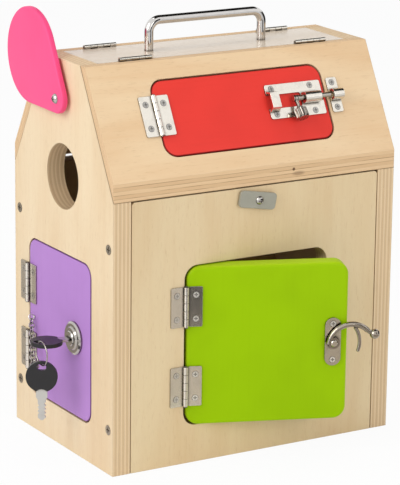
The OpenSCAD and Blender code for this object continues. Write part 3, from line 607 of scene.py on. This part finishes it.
def metal(name, colour, rough, marks=0.3, smudge=0.08, soft=0.0, dark=0.75, grain=UP, crevice_shade=0.8,
          flutes=0.0):
    """marks are rolling lines along the grain, and flutes is the pitch of ribs across it."""
    steel = Finish(name, Metallic=1.0)
    far = steel.along(grain)
    side, third = steel.along(grain.yzx), steel.along(grain.zxy)
    lines = steel.vector(far * ROLL_LONG, side * ROLL_SHORT, third * ROLL_SHORT)
    rolled = steel.noise(lines, detail=2)
    cloud = steel.noise(steel.place, scale=130, detail=3, roughness=0.6)
    fine = steel.noise(steel.place, scale=1400, detail=2)
    plate = steel.mix(colour, scaled(colour, dark), cloud.step(0.42, 0.8) * 0.5)
    # Painted shade: the less open sky a point sees, the more its colour goes to the shade brown.
    open_sky = steel.node("ShaderNodeAmbientOcclusion", {"Distance": SHADE_REACH}, out="AO", samples=6)
    painted_shade = (1 - open_sky).step(0.03, 0.42) * crevice_shade
    # Painted shade between the flutes: the grooves are darkened in the colour.
    if flutes:
        groove = abs((far / flutes).math("FRACT") - 0.5).step(0.22, 0.42)
        painted_shade = painted_shade.math("MAXIMUM", groove * 0.85)
    steel.set(Base_Color=steel.mix(plate, SHADE_BROWN, painted_shade),
              Roughness=rough + cloud * smudge + rolled * smudge * 0.5)
    steel.bumps(rolled * marks + fine * marks * 0.6, 0.04 * MM, 0.6, soft=soft)
    return steel


# %% [markdown]
# Plated pieces are nearly mirrors. They were bought as separate fittings and differ in tone, from
# the pale handle to the browner latch.

# %% Plated pieces
dress(metal("chrome_plate", linear(196, 192, 186), 0.07, marks=0.10, smudge=0.07),
      "lock_housing", "lock_plug", "button_screw", "cover_screw")
dress(metal("bolt_plate", linear(188, 181, 170), 0.11, marks=0.15, grain=RIGHT, crevice_shade=0.95),
      "bolt_rod")
dress(metal("fluted_knob", linear(196, 188, 178), 0.16, marks=0.15, grain=RIGHT, flutes=2.3 * MM),
      "bolt_knob")
dress(metal("latch_plate", linear(172, 162, 150), 0.10, marks=0.15, smudge=0.10, crevice_shade=0.95),
      "latch_arm")
dress(metal("ring_wire", linear(176, 171, 166), 0.16, marks=0.10, smudge=0.07),
      "key_ring", "tether_chain")
dress(metal("handle_chrome", linear(216, 213, 210), 0.06, marks=0.05, smudge=0.05, grain=RIGHT),
      "carry_handle")

# %% [markdown]
# The sheet pieces are softer: a small Bevel radius in the shader rounds the light on their cut
# edges. The latch's base is darker than the hinges.

# %% Sheet pieces and keys
dress(metal("nickel_sheet", linear(240, 234, 223), 0.12, marks=0.10, smudge=0.10, soft=0.2 * MM),
      "ridge_hinge_fixed_leaves", "front_ridge_lid_leaves", "back_ridge_lid_leaves",
      "green_hinge_wall_leaves", "green_hinge_door_leaves", "purple_hinge_wall_leaves",
      "purple_hinge_door_leaves", "red_hinge_lid_leaf", "red_hinge_door_leaf",
      "bolt_base", "bolt_keeper", "bolt_keeper_loop", "latch_keeper")
dress(metal("latch_sheet", linear(212, 204, 190), 0.10, marks=0.10, smudge=0.10, soft=0.2 * MM,
            crevice_shade=1.0), "latch_base")
dress(metal("key_steel", linear(205, 203, 198), 0.24, marks=0.5, smudge=0.12, soft=0.15 * MM),
      "key_blade", "spare_key_blade")

# %% [markdown]
# Screws and pins are plain zinc, rougher than the plates round them. That makes the green door's
# screws stand out bright on a leaf that mirrors something dark.

# %% Screws and pins
dress(metal("zinc_screws", linear(232, 229, 223), 0.2, marks=0.2, smudge=0.12, dark=0.6, crevice_shade=0.3),
      "handle_screws", "wall_leaf_screws", "latch_keeper_screws", "back_lid_screws",
      "purple_door_screws", "tether_screw", "lock_nut", "lock_cam", "cam_screw", "cover_spacer",
      "button_washer")
dress(metal("door_screws", linear(250, 247, 240), 0.26, marks=0.2, smudge=0.12, dark=0.6, crevice_shade=0.8),
      "green_door_screws")
dress(metal("lid_screws", linear(186, 183, 178), 0.16, marks=0.2, smudge=0.1, dark=0.6, crevice_shade=0.6),
      "front_lid_screws", "red_door_screws")
dress(metal("sunk_screws", linear(176, 165, 148), 0.34, marks=0.4, smudge=0.2, dark=0.5, crevice_shade=0.3),
      "wall_screws")
dress(metal("hinge_pins", linear(150, 145, 138), 0.26, marks=0.4, smudge=0.15, dark=0.6, crevice_shade=0.9),
      "ridge_hinge_pins", "door_hinge_pins", "red_hinge_pin")

# %% [markdown]
# The turn button has a satin grey coat, and the key heads are moulded black plastic with a fine
# spark-eroded grain. Neither is a metal to the eye, so they share a recipe of their own.

# %% Grey coat and black plastic
def moulded(name, colour, rough, grain_size, depth, soft, metallic=0.0):
    skin = Finish(name, Metallic=metallic, Specular_IOR_Level=0.5)
    cloud = skin.noise(skin.place, scale=160, detail=2)
    grit = skin.noise(skin.place, scale=grain_size, detail=2, roughness=0.65)
    tone_share = cloud * 0.5 + grit.step(0.5, 0.8) * 0.25
    skin.set(Base_Color=skin.mix(colour, scaled(colour, 1.35, lift=0.01), tone_share),
             Roughness=rough + cloud * 0.12 + grit * 0.06)
    skin.bumps(grit, depth, 0.6, soft=soft)
    return skin


dress(moulded("grey_coat", linear(162, 160, 147), 0.34, 1600, 0.05 * MM, 0.8 * MM, metallic=0.35),
      "turn_button")
dress(moulded("black_plastic", linear(16, 14, 17), 0.28, 2200, 0.04 * MM, 0.7 * MM),
      "key_head", "spare_key_head")

# %% [markdown]
# ## Floor, light and background
# The picture is a cut-out on white, with a faint shadow under the house. The floor is a white
# sheet that mixes its own shading with a white glow, and the glow goes to camera rays only. The
# small share of shading that is left keeps the shadow.

# %% Floor
FLOOR_HALF, GLOW_SHARE = 6.0, 0.93


def flat_sheet(name, width, height):
    """A flat rectangle that faces up, for the floor and for the cards."""
    made = bmesh.new()
    bmesh.ops.create_grid(made, x_segments=1, y_segments=1, size=0.5)
    bmesh.ops.scale(made, vec=(width, height, 1), verts=made.verts)
    mesh = bpy.data.meshes.new(name)
    made.to_mesh(mesh)
    made.free()
    flat = bpy.data.objects.new(name, mesh)
    bpy.context.scene.collection.objects.link(flat)
    return flat


floor = flat_sheet("studio_floor", FLOOR_HALF * 2, FLOOR_HALF * 2)
ground = Finish("floor_white", Base_Color=linear(245, 245, 245), Roughness=0.9, Specular_IOR_Level=0.0)
seen = ground.node("ShaderNodeLightPath", out="Is Camera Ray") * GLOW_SHARE
glow = ground.node("ShaderNodeEmission", {"Color": (1, 1, 1, 1), "Strength": 1.0})
shaded = Wire(ground, ground.shader.outputs[0])
ground.end(ground.node("ShaderNodeMixShader", {0: seen, 1: shaded, 2: glow}))
floor.data.materials.append(ground.material)
print("floor", FLOOR_HALF * 2, "m wide")

# %% [markdown]
# Much of the light comes evenly from the world, which softens every shadow. Polished metal would
# show that world as a grey room, so camera rays and mirror rays see white instead.

# %% World
FILL = 0.54
world = bpy.data.worlds.new("studio")
bpy.context.scene.world = world
world.use_nodes = True
sky = Web(world.node_tree)
rays = [sky.node("ShaderNodeLightPath", out="Is %s Ray" % kind)
        for kind in ("Camera", "Glossy", "Transmission")]
seen_white = rays[0].math("MAXIMUM", rays[1]).math("MAXIMUM", rays[2])
fill = sky.node("ShaderNodeBackground", {"Color": (0.97, 0.98, 1.0, 1), "Strength": FILL})
white = sky.node("ShaderNodeBackground", {"Color": (1, 1, 1, 1), "Strength": 1.0})
sky.end(sky.node("ShaderNodeMixShader", {0: seen_white, 1: fill, 2: white}))
print("world fill", FILL)

# %% [markdown]
# Three round softboxes do the rest. A strong one on the left makes the gable the brightest side,
# and a weaker one in front leaves the front wall a little darker. The third lights the roof.

# %% Lamps
LAMP_COLOUR = (1.0, 0.985, 0.96)


def facing(place, direction):
    """The matrix that puts something at a place with its +Z that way; a lamp shines along -Z."""
    return Matrix.Translation(place) @ Vector(direction).to_track_quat("Z", "Y").to_matrix().to_4x4()


for name, place, target_z, size, power in (("softbox_left", (-1.7, -0.35, 1.15), 0.16, 1.3, 17.0),
                                           ("softbox_front", (0.4, -2.1, 0.8), 0.14, 1.2, 10.5),
                                           ("softbox_top", (0.1, 0.2, 1.9), 0.2, 1.0, 5.6)):
    light = bpy.data.lights.new(name, "AREA")
    light.shape, light.size, light.energy, light.color = "DISK", size, power, LAMP_COLOUR
    lamp = bpy.data.objects.new(name, light)
    lamp.matrix_world = facing(place, Vector(place) - UP * target_z)
    bpy.context.scene.collection.objects.link(lamp)
    print(name, power, "W")

# %% [markdown]
# Plated metal shows what stands round it. In the picture the hinge leaf on the open door is dark,
# because it mirrors something unlit low in front, and the handle has dark bands from the room
# above. Cards in those places, which only mirror rays see, give the metal its dark parts
# without shading anything else.

# %% Cards for the metal
def card(name, place, direction, width, height, shade):
    flag = flat_sheet(name, width, height)
    flag.matrix_world = facing(place, direction)
    tone = (shade, shade * 0.9, shade * 0.78, 1)
    paper = Finish(name, Base_Color=tone, Roughness=1.0, Specular_IOR_Level=0.0)
    flag.data.materials.append(paper.material)
    for ray in ("camera", "diffuse", "shadow", "transmission", "volume_scatter"):
        setattr(flag, "visible_" + ray, False)
    print(name, width, "by", height, "m")


card("grey_card_floor", (0.10, -0.46, 0.004), UP, 0.56, 0.56, 0.56)
card("grey_card_side", (-0.36, 0.36, 0.004), UP, 0.40, 0.50, 0.45)
card("dark_card_floor", (-0.21, -0.66, 0.008), UP, 0.31, 0.54, 0.01)
card("dark_card_front", (0.22, -0.90, 0.435), REAR, 0.42, 0.73, 0.01)
card("dark_card_top", (0.50, 0.50, 1.25), DOWN, 1.3, 1.9, 0.01)
card("dark_card_right", (1.0, -0.15, 0.15), LEFT, 1.3, 0.9, 0.02)
card("dark_card_left", (-0.9, 0.9, 0.25), (0.7, -0.7, 0), 0.35, 0.5, 0.02)
